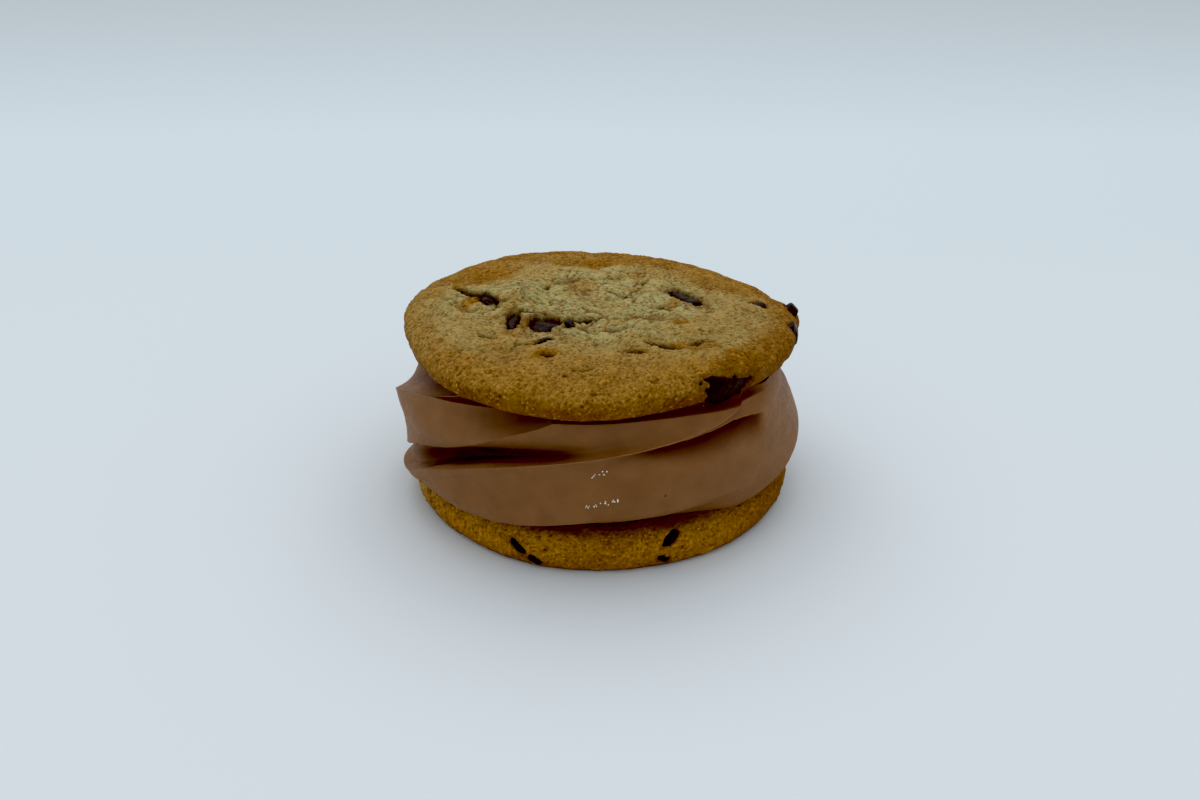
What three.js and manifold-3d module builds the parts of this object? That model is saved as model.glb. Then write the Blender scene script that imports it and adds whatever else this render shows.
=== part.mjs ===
// An ice cream sandwich: a thick band of piped chocolate ice cream between two chocolate chip
// cookies, made with three.js.
//
// Sizes are in millimetres and angles in degrees. Z is up, and the origin is the centre of the
// lower cookie's flat underside. A "turn" is a direction round the sandwich, seen from above: 0 is
// its front (-Y), 90 its right (+X), 180 its back and -90 its left.
import * as THREE from "three";
import { mergeVertices } from "three/addons/utils/BufferGeometryUtils.js";
import Module from "manifold-3d";

const wasm = await Module();
wasm.setup();

// ---- Driving dimensions ----

// Clear space between two pieces that touch.
const GAP = 0.3;

// A cookie is flat below. Its rim is widest at the belt and rounds over a wide shoulder on to the
// top, which rises a little more to its middle. The waves and bumps bend its round outline.
const lowerCookie = {
  radius: 39.4,
  foot: 2.2,
  belt: 4,
  shoulder: 9,
  edge: 9.6,
  crown: 0.2,
  topSteps: 2,
  waves: [
    { count: 2, size: 0.25, turn: 0 },
    { count: 3, size: 0.3, turn: -20 },
    { count: 4, size: 0.2, turn: 45 },
  ],
  bumps: [{ turn: -43, size: -1.1, width: 19 }],
  lumps: { seed: 11, count: 26, spread: 36, width: [3.5, 6.5], height: [-0.5, 0.5] },
};

const upperCookie = {
  radius: 40,
  foot: 2.8,
  belt: 3.3,
  shoulder: 10,
  edge: 8,
  crown: 0.7,
  topSteps: 8,
  waves: [
    { count: 2, size: 0.3, turn: 17 },
    { count: 3, size: 1.2, turn: -22 },
    { count: 4, size: 0.45, turn: -8 },
    { count: 7, size: 0.3, turn: 0 },
  ],
  bumps: [
    { turn: 97, size: 1, width: 5 },
    { turn: 107, size: -0.9, width: 5 },
    { turn: 126, size: -0.5, width: 5 },
    { turn: -149, size: 0.7, width: 4 },
    { turn: -124, size: -0.5, width: 4 },
  ],
  lumps: { seed: 5, count: 60, spread: 27, width: [2.6, 5], height: [-1.2, 1.2] },
};

// Where the upper cookie's underside lies, and how far it leans back and to the right.
const upperSeat = { x: -1, y: -0.2, z: 31.3, back: 2.6, right: 1.0 };

// Chocolate chips in a cookie's top. at is the middle in the cookie's own x and y, size is length,
// width and depth, spin turns the length from +X, and rise is how far it stands above the dough.
const upperTopChips = [
  { at: [-21.8, 0.9], size: [5.2, 2.2, 4], spin: -42, rise: -0.1 },
  { at: [-16.2, -9.3], size: [8.8, 3, 4.5], spin: -92, rise: -0.1 },
  { at: [-10.1, -11.2], size: [6.6, 7.6, 4.5], spin: -8, rise: 0.1 },
  { at: [-5.1, -10.9], size: [4, 1.9, 3], spin: -82, rise: 0.1 },
  { at: [-9.7, -19.4], size: [3.8, 2.2, 2.6], spin: 38, rise: 0 },
  { at: [18.1, 5.7], size: [9.8, 4.4, 4.5], spin: -52, rise: 0 },
  { at: [33.2, 2.5], size: [3.8, 2.5, 3], spin: -40, rise: 0.1 },
];

// Chips in a cookie's rim. turn and up place the middle, size is length along the rim, height and
// depth, roll tips its far end up, and sag bends its middle down.
const upperRimChips = [
  { turn: 42, up: 2.0, size: [12.2, 5.4, 5], roll: -5, rise: 0.4, sag: 1.1 },
  { turn: 97, up: 6, size: [5, 3, 4], roll: -10, rise: 0.9 },
  { turn: 84, up: 4.2, size: [3.6, 4.4, 3], roll: 0, rise: 0.4 },
  { turn: 138, up: 4, size: [6, 4, 4], roll: 15, rise: 0.4 },
  { turn: -152, up: 3.6, size: [7, 3.6, 4], roll: -20, rise: 0.4 },
];

const lowerRimChips = [
  { turn: -24, up: 4.1, size: [4.2, 1.5, 3], roll: -42, rise: 0.2 },
  { turn: -19, up: 1.7, size: [3.4, 1.5, 3], roll: -15, rise: 0.2 },
  { turn: 21, up: 6.4, size: [4, 1.9, 3], roll: 38, rise: 0.2 },
  { turn: 18.5, up: 1.8, size: [3, 1.6, 3], roll: -20, rise: 0.2 },
  { turn: 104, up: 4.4, size: [6, 3.4, 4], roll: 20, rise: 0.4 },
  { turn: 161, up: 3.2, size: [4.5, 2.4, 3], roll: -30, rise: 0.3 },
  { turn: -163, up: 5, size: [6.5, 3.6, 4], roll: 10, rise: 0.4 },
  { turn: -97, up: 3, size: [3.6, 2.2, 3], roll: -25, rise: 0.3 },
];

// Cracks in a cookie's top, as canoe-shaped cuts: middle, length, width, depth and direction.
const upperCracks = [
  { at: [-24.2, 4], size: [14.5, 0.9, 1.6], spin: -44 },
  { at: [-12, -6], size: [6.5, 0.9, 1.6], spin: -28 },
  { at: [-2.9, -9.2], size: [4.4, 0.9, 1.4], spin: 43 },
  { at: [-20.5, -17.6], size: [7, 1, 1.2], spin: -30 },
  { at: [-12.5, -21.4], size: [7, 1, 1.2], spin: 2 },
  { at: [4.5, -13.5], size: [7, 1.1, 1.2], spin: 18 },
  { at: [13, -20.8], size: [8, 1.3, 1.3], spin: -14 },
  { at: [7, -24], size: [6, 1.1, 1.2], spin: -12 },
  { at: [-9.3, -26.6], size: [4.5, 2, 1.1], spin: -10 },
  { at: [14.5, -2.2], size: [6, 1, 1.1], spin: -62 },
  { at: [-6, 13.5], size: [9, 1, 1.1], spin: 28 },
];

// The ice cream leaves a star nozzle, so its side is a row of faces between crests that climb
// round it to the right. A crest has its turns at even heights from foot to head, and its radii
// at the foot, between (reach) and at the head. The face that follows it has its hollow: the depth
// and the share of its width where it is deepest (keel), both at even heights, and how evenly it
// falls in before there and comes out beyond (1 for a bowl, less for a steeper wall).
const crests = [
  {
    turns: [-132, -114, -100, -86, -68, -42],
    radii: { foot: 37.5, reach: 42, head: 37.5 },
    hollow: {
      depth: [1, 0.6, 0.5, 0.4, 2.6, 7],
      keel: [0.5, 0.5, 0.5, 0.6, 0.78, 0.86],
      before: 1.2,
      beyond: 0.7,
    },
  },
  {
    turns: [-112, -83, -65, -45, -27, -10],
    radii: { foot: 38.5, reach: 40.3, head: 38 },
    hollow: {
      depth: [0, 1, 3.4, 7.6, 8.6, 7.4, 5.4, 3.4, 2.2, 1.6, 1.6],
      keel: [0.3, 0.35, 0.5, 0.75, 0.75, 0.5],
      before: 0.8,
      beyond: 0.6,
    },
  },
  {
    turns: [-104, -87.8, -70, -61, -53, -42.5, -31, -15, 9.5, 36, 47],
    radii: { foot: 39.3, reach: 41.6, head: 38 },
    hollow: {
      depth: [0.5, 0.4, 0.4, 0.4, 0.4, 0.4, 0.4, 0.8, 3.6, 4.8, 2.5],
      keel: [0.3, 0.3],
      before: 1,
      beyond: 1.6,
    },
  },
  {
    turns: [-42, -11, 5, 29, 47, 57],
    radii: { foot: 37.3, reach: 41.4, head: 37.5 },
    hollow: { depth: [3.4, 0.4, 0.4, 2.5, 4.8, 4], keel: [0.65, 0.65], before: 1, beyond: 1 },
  },
  {
    turns: [45, 68, 106, 136, 153, 166],
    radii: { foot: 37, reach: 41.3, head: 38 },
    hollow: { depth: [1, 2.4, 3, 3, 2.8, 2.4], keel: [0.45, 0.45], before: 1, beyond: 1 },
  },
  {
    turns: [88, 104, 128, 150, 168, 182],
    radii: { foot: 38.8, reach: 41.1, head: 38 },
    hollow: { depth: [1, 0.6, 0.6, 0.8, 1.6, 2.6], keel: [0.4, 0.4], before: 1, beyond: 1 },
  },
  {
    turns: [122, 138, 158, 176, 190, 204],
    radii: { foot: 37.6, reach: 41.3, head: 38 },
    hollow: { depth: [2, 3.4, 6, 5, 3, 2], keel: [0.35, 0.35], before: 1, beyond: 1 },
  },
  {
    turns: [155, 170, 186, 201, 215, 228],
    radii: { foot: 37.2, reach: 41.4, head: 38 },
    hollow: { depth: [0.8, 0.6, 0.6, 0.7, 1.6, 2.4], keel: [0.4, 0.4], before: 1, beyond: 1 },
  },
  {
    turns: [189, 201, 213, 225, 236, 247],
    radii: { foot: 37, reach: 41.2, head: 37.5 },
    hollow: {
      depth: [1, 1, 1.5, 2.8, 5.6, 8.5],
      keel: [0.75, 0.75, 0.78, 0.82, 0.88, 0.9],
      before: 1.6,
      beyond: 0.6,
    },
  },
];

// Shares of the height over which the crests round in toward the foot and the head.
const footShare = 0.24;
const headShare = 0.4;

// Mesh steps
const COLUMNS = 68;
const FOOT_STEPS = 3;
const SHOULDER_STEPS = 6;
const FACE_COLUMNS = 11;
const FLANK_ROWS = 18;

const colours = {
  crust: new THREE.Color(0.36, 0.2, 0.055),
  chocolate: new THREE.Color(0.028, 0.012, 0.008),
  iceCream: new THREE.Color(0.19, 0.098, 0.047),
};

// ---- Small helpers ----

const radians = THREE.MathUtils.degToRad;
const mix = THREE.MathUtils.lerp;

function turnOf(x, y) {
  return THREE.MathUtils.radToDeg(Math.atan2(x, -y));
}

// A point at a turn, a distance from the Z axis and a height.
function around(turn, r, z) {
  const a = radians(turn);
  return new THREE.Vector3(r * Math.sin(a), -r * Math.cos(a), z);
}

// A repeatable row of random numbers from 0 to 1.
function seeded(seed) {
  let state = seed;
  return () => {
    state = (state * 16807) % 2147483647;
    return state / 2147483647;
  };
}

function ringOf(place) {
  return Array.from({ length: COLUMNS }, (_, i) => place((360 * i) / COLUMNS));
}

// A closed skin over rings of equal length, from the lower pole to the upper one.
function skin(lowerPole, rings, upperPole) {
  const count = rings[0].length;
  const points = [lowerPole, ...rings.flat(), upperPole];
  const at = (ring, i) => 1 + ring * count + (i % count);
  const last = points.length - 1;
  const index = [];
  for (let i = 0; i < count; i++) {
    index.push(0, at(0, i + 1), at(0, i));
    for (let ring = 0; ring + 1 < rings.length; ring++) {
      const [a, b, c, d] = [at(ring, i), at(ring, i + 1), at(ring + 1, i + 1), at(ring + 1, i)];
      const rising = points[a].distanceTo(points[c]) < points[b].distanceTo(points[d]);
      index.push(...(rising ? [a, b, c, a, c, d] : [a, b, d, b, c, d]));
    }
    index.push(at(rings.length - 1, i), at(rings.length - 1, i + 1), last);
  }
  return new THREE.BufferGeometry().setFromPoints(points).setIndex(index);
}

function solidOf(geometry) {
  return new wasm.Manifold(
    new wasm.Mesh({
      numProp: 3,
      vertProperties: geometry.attributes.position.array,
      triVerts: new Uint32Array(geometry.index.array),
    }),
  );
}

function geometryOf(solid) {
  const { vertProperties, triVerts } = solid.getMesh();
  return new THREE.BufferGeometry()
    .setAttribute("position", new THREE.BufferAttribute(vertProperties, 3))
    .setIndex(new THREE.BufferAttribute(triVerts, 1));
}

// ---- Cookies ----

// The outline's radius at a turn.
function outline(cookie, turn) {
  const waves = cookie.waves.map(
    (wave) => wave.size * Math.cos(wave.count * radians(turn - wave.turn)),
  );
  const bumps = cookie.bumps.map((bump) => {
    const away = THREE.MathUtils.euclideanModulo(turn - bump.turn + 180, 360) - 180;
    return bump.size * Math.exp(-((away / bump.width) ** 2));
  });
  return [...waves, ...bumps].reduce((sum, size) => sum + size, cookie.radius);
}

// A cookie with the soft lumps and dips that its dough set into as it baked.
function withHills(cookie) {
  const { seed, count, spread, width, height } = cookie.lumps;
  const next = seeded(seed);
  const hills = Array.from({ length: count }, () => {
    const { x, y } = around(360 * next(), spread * Math.sqrt(next()), 0);
    return { x, y, width: mix(...width, next()), height: mix(...height, next()) };
  });
  return { ...cookie, hills };
}

// The height of a cookie's top above its underside.
function topHeight(cookie, x, y) {
  const r = Math.hypot(x, y);
  const inner = outline(cookie, turnOf(x, y)) - cookie.shoulder;
  const out = THREE.MathUtils.clamp((r - inner) / cookie.shoulder, 0, 1);
  const level = Math.sqrt(1 - out * out);
  const relief = cookie.hills.reduce(
    (sum, hill) =>
      sum + hill.height * Math.exp(-((x - hill.x) ** 2 + (y - hill.y) ** 2) / hill.width ** 2),
    0,
  );
  const dome = cookie.crown * Math.max(0, 1 - (r / inner) ** 2);
  return cookie.belt + level * (cookie.edge - cookie.belt + relief) + dome;
}

function cookieBody(cookie) {
  const rings = [];
  for (let step = 0; step < FOOT_STEPS; step++) {
    const a = radians((90 * step) / FOOT_STEPS);
    const inset = cookie.foot * (1 - Math.sin(a));
    const z = cookie.belt * (1 - Math.cos(a));
    rings.push(ringOf((turn) => around(turn, outline(cookie, turn) - inset, z)));
  }
  const addTopRing = (radiusAt) => {
    rings.push(
      ringOf((turn) => {
        const point = around(turn, radiusAt(outline(cookie, turn)), 0);
        point.z = topHeight(cookie, point.x, point.y);
        return point;
      }),
    );
  };
  for (let step = 0; step < SHOULDER_STEPS; step++) {
    const a = radians((90 * step) / SHOULDER_STEPS);
    addTopRing((edge) => edge - cookie.shoulder * (1 - Math.cos(a)));
  }
  for (let step = 0; step < cookie.topSteps; step++) {
    addTopRing((edge) => (edge - cookie.shoulder) * (1 - step / cookie.topSteps));
  }
  return skin(new THREE.Vector3(), rings, new THREE.Vector3(0, 0, topHeight(cookie, 0, 0)));
}

// ---- Chocolate chips and cracks ----

// A chip is a rounded block with uneven sides. x runs along it and z out of the dough. Its pocket
// is the same shape, grown all round and with its outer half lifted, so that it opens outward.
function chipShape({ size, seed, sag = 0 }, grow, lift = 0) {
  const next = seeded(seed);
  const geometry = new THREE.IcosahedronGeometry(1, 1);
  geometry.deleteAttribute("normal");
  geometry.deleteAttribute("uv");
  const shape = mergeVertices(geometry, 1e-3);
  const position = shape.attributes.position;
  const point = new THREE.Vector3();
  const half = size.map((length) => length / 2 + grow);
  const block = (value) => Math.sign(value) * Math.abs(value) ** 0.75;
  for (let i = 0; i < position.count; i++) {
    point.fromBufferAttribute(position, i).multiplyScalar(mix(0.86, 1.06, next()));
    const [x, y, z] = point.toArray().map((value, axis) => half[axis] * block(value));
    position.setXYZ(i, x, y - sag * (0.5 - (x / half[0]) ** 2), z > 0 ? z + lift : z);
  }
  return shape;
}

// The place of a chip or crack in the top, with z straight up and the dough's height there.
function placeOnTop(cookie, { at: [x, y], spin }) {
  const z = topHeight(cookie, x, y);
  return new THREE.Matrix4().makeRotationZ(radians(spin)).setPosition(x, y, z);
}

// The place of a chip in the rim, with x along the rim and z straight out of it.
function placeOnRim(cookie, { turn, up, roll }) {
  const radius = outline(cookie, turn);
  const low = up < cookie.belt;
  const depth = low ? cookie.foot : cookie.shoulder;
  const rise = low ? cookie.belt : cookie.edge - cookie.belt;
  const away = (up - cookie.belt) / rise;
  const r = radius - depth * (1 - Math.sqrt(1 - away * away));
  const slope = Math.atan2(away * depth, rise * Math.sqrt(1 - away * away));
  const matrix = new THREE.Matrix4().makeRotationZ(radians(turn));
  matrix.multiply(new THREE.Matrix4().makeRotationX(Math.PI / 2 - slope));
  matrix.multiply(new THREE.Matrix4().makeRotationZ(radians(roll)));
  return matrix.setPosition(around(turn, r, up));
}

function sunk(matrix, depth) {
  return matrix.clone().multiply(new THREE.Matrix4().makeTranslation(0, 0, -depth));
}

// A long thin cut that tapers to both ends.
function crackShape([length, width, depth]) {
  const sides = 6;
  const stations = 5;
  const rings = Array.from({ length: stations }, (_, i) => {
    const along = mix(-0.8, 0.8, i / (stations - 1));
    const full = Math.sqrt(1 - along * along);
    return Array.from({ length: sides }, (_, side) => {
      const a = (2 * Math.PI * side) / sides;
      return new THREE.Vector3(
        (along * length) / 2,
        (full * width * Math.cos(a)) / 2,
        full * depth * Math.sin(a),
      );
    });
  });
  return skin(
    new THREE.Vector3(-length / 2, 0, 0),
    rings,
    new THREE.Vector3(length / 2, 0, 0),
  );
}

// A cookie's chips, each with its place in the dough.
function chipsOf(cookie, topChips, rimChips) {
  const chips = [
    ...topChips.map((chip) => ({ ...chip, place: placeOnTop(cookie, chip) })),
    ...rimChips.map((chip) => ({ ...chip, place: placeOnRim(cookie, chip) })),
  ];
  return chips.map((chip, i) => ({
    ...chip,
    seed: 101 + 7 * i,
    place: sunk(chip.place, chip.size[2] / 2 - chip.rise),
  }));
}

// A cookie with its chips: the dough has a pocket for each chip and a cut for each crack.
function cookieParts(name, cookie, chips, cracks) {
  let dough = solidOf(cookieBody(cookie));
  for (const crack of cracks) {
    const place = placeOnTop(cookie, crack);
    dough = dough.subtract(solidOf(crackShape(crack.size).applyMatrix4(place)));
  }
  const group = new THREE.Group();
  chips.forEach((chip, i) => {
    const pocket = chipShape(chip, GAP, chip.size[2] / 3);
    dough = dough.subtract(solidOf(pocket.applyMatrix4(chip.place)));
    const mesh = new THREE.Mesh(chipShape(chip, 0), chocolate);
    mesh.name = `${name}_chip_${i + 1}`;
    chip.place.decompose(mesh.position, mesh.quaternion, mesh.scale);
    group.add(mesh);
  });
  const crust = new THREE.Mesh(geometryOf(dough), dryCrust);
  crust.name = name;
  group.add(crust);
  return group;
}

// ---- Ice cream ----

// The underside of the upper cookie, as a height over x and y.
function ceiling(x, y) {
  const normal = new THREE.Vector3(0, 0, 1).applyEuler(upperLean);
  const seat = new THREE.Vector3(upperSeat.x, upperSeat.y, upperSeat.z);
  return seat.z - (normal.x * (x - seat.x) + normal.y * (y - seat.y)) / normal.z;
}

// A smooth value through samples at even shares from 0 to 1.
function through(samples, share) {
  const points = samples.map((value) => new THREE.Vector2(value, 0));
  return new THREE.SplineCurve(points).getPoint(share).x;
}

// A crest's radius at a share of its height.
function crestRadius({ radii: { foot, reach, head } }, up) {
  const fromFoot = Math.max(0, 1 - up / footShare);
  const toHead = Math.max(0, 1 - (1 - up) / headShare);
  return reach + (foot - reach) * fromFoot ** 2 + (head - reach) * toHead ** 2;
}

// The ice cream's side between crest number k and the next, a share of the way across and up:
// its turn and its radius.
function flank(k, across, up) {
  const crest = crests[k];
  const next = crests[(k + 1) % crests.length];
  const lap = k + 1 === crests.length ? 360 : 0;
  const { depth, before, beyond } = crest.hollow;
  const keel = through(crest.hollow.keel, up);
  const dip =
    across < keel
      ? Math.sin((Math.PI / 2) * (across / keel)) ** before
      : Math.sin((Math.PI / 2) * ((1 - across) / (1 - keel))) ** beyond;
  const sink = through(depth, up) * dip;
  return {
    turn: mix(through(crest.turns, up), through(next.turns, up) + lap, across),
    radius: mix(crestRadius(crest, up), crestRadius(next, up), across) - sink,
  };
}

function iceCreamShape(chips) {
  const columns = crests.flatMap((_, k) =>
    Array.from({ length: FACE_COLUMNS }, (__, i) => (up) => flank(k, i / FACE_COLUMNS, up)),
  );
  const feet = columns.map((column) => {
    const { turn, radius } = column(0);
    const { x, y } = around(turn, radius, 0);
    return topHeight(lowerDough, x, y);
  });
  const rings = [];
  for (let row = 0; row <= FLANK_ROWS; row++) {
    const up = row / FLANK_ROWS;
    rings.push(
      columns.map((column, i) => {
        const { turn, radius } = column(up);
        const point = around(turn, radius, 0);
        const z = mix(feet[i], ceiling(point.x, point.y) - GAP, up);
        return around(turn, radius, z);
      }),
    );
  }
  const band = skin(
    new THREE.Vector3(0, 0, lowerDough.belt),
    rings,
    new THREE.Vector3(0, 0, ceiling(0, 0) - GAP),
  );
  const { radius, belt, edge } = lowerDough;
  const clearance = { ...lowerDough, radius: radius + GAP, belt: belt + GAP, edge: edge + GAP };
  let solid = solidOf(band).subtract(solidOf(cookieBody(clearance)));
  for (const chip of chips) {
    const shape = chipShape(chip, GAP).applyMatrix4(chip.place).applyMatrix4(upperPlace);
    solid = solid.subtract(solidOf(shape));
  }
  return geometryOf(solid);
}

// ---- The sandwich ----

const upperLean = new THREE.Euler(-radians(upperSeat.back), radians(upperSeat.right), 0);
const dryCrust = new THREE.MeshStandardMaterial({ color: colours.crust, roughness: 0.85 });
const chocolate = new THREE.MeshStandardMaterial({ color: colours.chocolate, roughness: 0.35 });
const softIce = new THREE.MeshStandardMaterial({ color: colours.iceCream, roughness: 0.55 });

const upperPlace = new THREE.Matrix4().makeRotationFromEuler(upperLean);
upperPlace.setPosition(upperSeat.x, upperSeat.y, upperSeat.z);

const lowerDough = withHills(lowerCookie);
const upperDough = withHills(upperCookie);
const lowerChips = chipsOf(lowerDough, [], lowerRimChips);
const upperChips = chipsOf(upperDough, upperTopChips, upperRimChips);

const sandwich = new THREE.Group();
sandwich.add(cookieParts("lower_cookie", lowerDough, lowerChips, []));

const iceCream = new THREE.Mesh(iceCreamShape(upperChips), softIce);
iceCream.name = "ice_cream";
sandwich.add(iceCream);

const upper = cookieParts("upper_cookie", upperDough, upperChips, upperCracks);
upperPlace.decompose(upper.position, upper.quaternion, upper.scale);
sandwich.add(upper);

export default sandwich;
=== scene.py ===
import math

import bmesh
import bpy
import numpy as np
from mathutils import Matrix, Vector


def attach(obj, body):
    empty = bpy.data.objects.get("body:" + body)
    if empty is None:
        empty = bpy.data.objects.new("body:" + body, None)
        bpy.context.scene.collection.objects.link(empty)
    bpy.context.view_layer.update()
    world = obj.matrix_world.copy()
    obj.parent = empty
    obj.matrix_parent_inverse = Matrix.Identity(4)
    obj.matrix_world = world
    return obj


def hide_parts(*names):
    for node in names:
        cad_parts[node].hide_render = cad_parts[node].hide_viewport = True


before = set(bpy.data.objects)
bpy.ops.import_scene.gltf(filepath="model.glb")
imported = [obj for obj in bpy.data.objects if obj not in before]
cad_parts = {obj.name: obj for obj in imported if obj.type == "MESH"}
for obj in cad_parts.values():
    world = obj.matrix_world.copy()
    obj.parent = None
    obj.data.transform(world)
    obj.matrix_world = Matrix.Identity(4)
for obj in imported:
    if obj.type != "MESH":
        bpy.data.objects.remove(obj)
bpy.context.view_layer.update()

MM = 0.001

# ---- Dimensions ----

# The cookies, their seat, the chips and the crests' turns and radii are as in the CAD model. Its
# cracks and hollows are finer here, and patches, pits, LAP, SLOT and NECK are only here.

LOWER = dict(
    radius=39.4, foot=2.2, belt=4.0, shoulder=9.0, edge=9.6, crown=0.2,
    waves=[(2, 0.25, 0), (3, 0.3, -20), (4, 0.2, 45)],
    bumps=[(-43, -1.1, 19)],
    lumps=dict(seed=11, count=26, spread=36, width=(3.5, 6.5), height=(-0.5, 0.5)),
)
UPPER = dict(
    radius=40.0, foot=2.8, belt=3.3, shoulder=10.0, edge=8.0, crown=0.7,
    waves=[(2, 0.3, 17), (3, 1.2, -22), (4, 0.45, -8), (7, 0.3, 0)],
    bumps=[(97, 1, 5), (107, -0.9, 5), (126, -0.5, 5), (-149, 0.7, 4), (-124, -0.5, 4)],
    lumps=dict(seed=5, count=60, spread=27, width=(2.6, 5), height=(-1.2, 1.2)),
)
SEAT = dict(x=-1.0, y=-0.2, z=31.3, back=2.6, right=1.0)

# Chips in the upper cookie's top: middle, size, spin, rise.
UPPER_TOP_CHIPS = [
    ((-21.8, 0.9), (5.2, 2.2, 4), -42, -0.1),
    ((-16.2, -9.3), (8.8, 3, 4.5), -92, -0.1),
    ((-10.1, -11.2), (6.6, 7.6, 4.5), -8, 0.1),
    ((-5.1, -10.9), (4, 1.9, 3), -82, 0.1),
    ((-9.7, -19.4), (3.8, 2.2, 2.6), 38, 0),
    ((18.1, 5.7), (9.8, 4.4, 4.5), -52, 0),
    ((33.2, 2.5), (3.8, 2.5, 3), -40, 0.1),
]
# Chips in a rim: turn, height of the middle, size, roll, rise and, for a bent one, its sag.
UPPER_RIM_CHIPS = [
    (42, 2.0, (12.2, 5.4, 5), -5, 0.4, 1.1),
    (97, 6, (5, 3, 4), -10, 0.9),
    (84, 4.2, (3.6, 4.4, 3), 0, 0.4),
    (138, 4, (6, 4, 4), 15, 0.4),
    (-152, 3.6, (7, 3.6, 4), -20, 0.4),
]
LOWER_RIM_CHIPS = [
    (-24, 4.1, (4.2, 1.5, 3), -42, 0.2),
    (-19, 1.7, (3.4, 1.5, 3), -15, 0.2),
    (21, 6.4, (4, 1.9, 3), 38, 0.2),
    (18.5, 1.8, (3, 1.6, 3), -20, 0.2),
    (104, 4.4, (6, 3.4, 4), 20, 0.4),
    (161, 3.2, (4.5, 2.4, 3), -30, 0.3),
    (-163, 5, (6.5, 3.6, 4), 10, 0.4),
    (-97, 3, (3.6, 2.2, 3), -25, 0.3),
]
# Cracks in the upper cookie's top: middle, length, width, depth, spin.
UPPER_CRACKS = [
    (-24.6, 4.6, 15, 2.0, 2.4, -46),
    (-12.4, -5.6, 7, 1.5, 1.8, -28),
    (-2.2, -9.0, 6.5, 1.7, 2.0, 24),
    (-20.5, -17.6, 7, 1.2, 1.2, -30),
    (-12.5, -21.4, 7, 1.3, 1.2, 2),
    (4.5, -13.5, 8, 1.6, 1.2, 18),
    (-1.5, -14.5, 5, 0.9, 0.9, -40),
    (13, -20.8, 8.5, 1.7, 1.3, -14),
    (20, -19, 6.5, 1.5, 1.0, 22),
    (7, -24, 7, 1.6, 1.2, -12),
    (-9.3, -26.6, 4.5, 2.0, 1.1, -10),
    (-2.5, -32.5, 6, 0.9, 0.8, 10),
    (14.5, -2.2, 6, 1.0, 1.1, -62),
    (-11, 9, 7, 1.0, 1.1, 55),
    (-6, 13.5, 9, 1.0, 1.1, 28),
    (4, 6, 8, 0.9, 0.9, -50),
    (9, 12, 6, 0.9, 0.8, 70),
]
# Well baked patches of the upper cookie's top: middle, half length, half width, spin, strength.
UPPER_TOAST = [
    (-25.8, 0.8, 4.2, 1.9, 62, 1.0),
    (-14.8, -17, 3.6, 1.7, -12, 0.6),
    (-13.8, -12, 3.6, 0.9, 85, 0.7),
    (-9.6, -26.6, 3.0, 1.8, 0, 0.9),
    (18, -20.8, 6.5, 2.0, 8, 0.8),
    (7, -23.5, 3.5, 1.3, -10, 0.5),
    (27.5, -26, 8, 4.5, 58, 1.0),
    (17, -10.6, 2, 1.3, 0, 0.8),
    (-23, 17, 9, 4.5, 48, 0.9),
    (2, 26, 14, 4, -3, 0.9),
    (24, 14, 9, 4, -42, 0.6),
    (15.6, 1, 3, 1.6, 60, 0.7),
    (-17, 9.5, 1.5, 1.5, 0, 0.6),
    (-5, 6, 2.5, 1.2, 10, 0.4),
]
# Crests of the ice cream: turns at even heights; radii at foot, between and head; then the
# hollow of the face that follows: its depths and the share of its width where it is deepest, both
# at even heights, and how evenly it falls in before there and comes out beyond (1 for a bowl).
CRESTS = [
    ([-132, -114, -100, -86, -68, -42], (37.5, 42, 37.5),
     ([1, 0.6, 0.5, 0.4, 2.6, 7], [0.5, 0.5, 0.5, 0.6, 0.78, 0.86], (1.2, 0.7))),
    ([-112, -83, -65, -45, -27, -10], (38.5, 40.3, 38),
     ([0, 1, 3.4, 7.6, 8.6, 7.4, 5.4, 3.4, 2.2, 1.6, 1.6],
      [0.3, 0.35, 0.5, 0.75, 0.75, 0.5], (0.8, 0.6))),
    ([-104, -87.8, -70, -61, -53, -42.5, -31, -15, 9.5, 36, 47], (39.3, 41.6, 38),
     ([0.5, 0.8, 1.0, 1.0, 1.2, 1], [0.3, 0.3, 0.3, 0.3, 0.3, 0.4], (1, 1))),
    ([-42, -11, 5, 29, 47, 57], (37.3, 41.4, 37.5),
     ([3.4, 1.3, 1.2, 2.5, 4.8, 4], [0.65, 0.65], (1, 1))),
    ([45, 68, 106, 136, 153, 166], (37, 41.3, 38), ([1, 2.4, 3, 3, 2.8, 2.4], [0.45, 0.45], (1, 1))),
    ([88, 104, 128, 150, 168, 182], (38.8, 41.1, 38),
     ([1, 0.6, 0.6, 0.8, 1.6, 2.6], [0.4, 0.4], (1, 1))),
    ([122, 138, 158, 176, 190, 204], (37.6, 41.3, 38), ([2, 3.4, 6, 5, 3, 2], [0.35, 0.35], (1, 1))),
    ([155, 170, 186, 201, 215, 228], (37.2, 41.4, 38),
     ([0.8, 0.6, 0.6, 0.7, 1.6, 2.4], [0.4, 0.4], (1, 1))),
    ([189, 201, 213, 225, 236, 247], (37, 41.2, 37.5),
     ([1, 1, 1.5, 2.8, 5.6, 8.5], [0.75, 0.75, 0.78, 0.82, 0.88, 0.9], (1.6, 0.6))),
]
# A crease where one lobe laps over the next: turns, then the height of its lip, its depth and how
# far down it fades at those turns.
LAP = (
    [3, 10.4, 15.8, 21.4, 27.4, 34, 40, 46, 52], [26.7, 26.6, 26.7, 27, 27.3, 27.7, 28.2, 28, 27.4],
    [0, 0.8, 1.6, 2.6, 3.6, 4.4, 4.8, 4.2, 0], [0.8, 0.9, 1.5, 2.1, 2.8, 3.2, 3.4, 3.2, 2.5],
)
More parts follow.
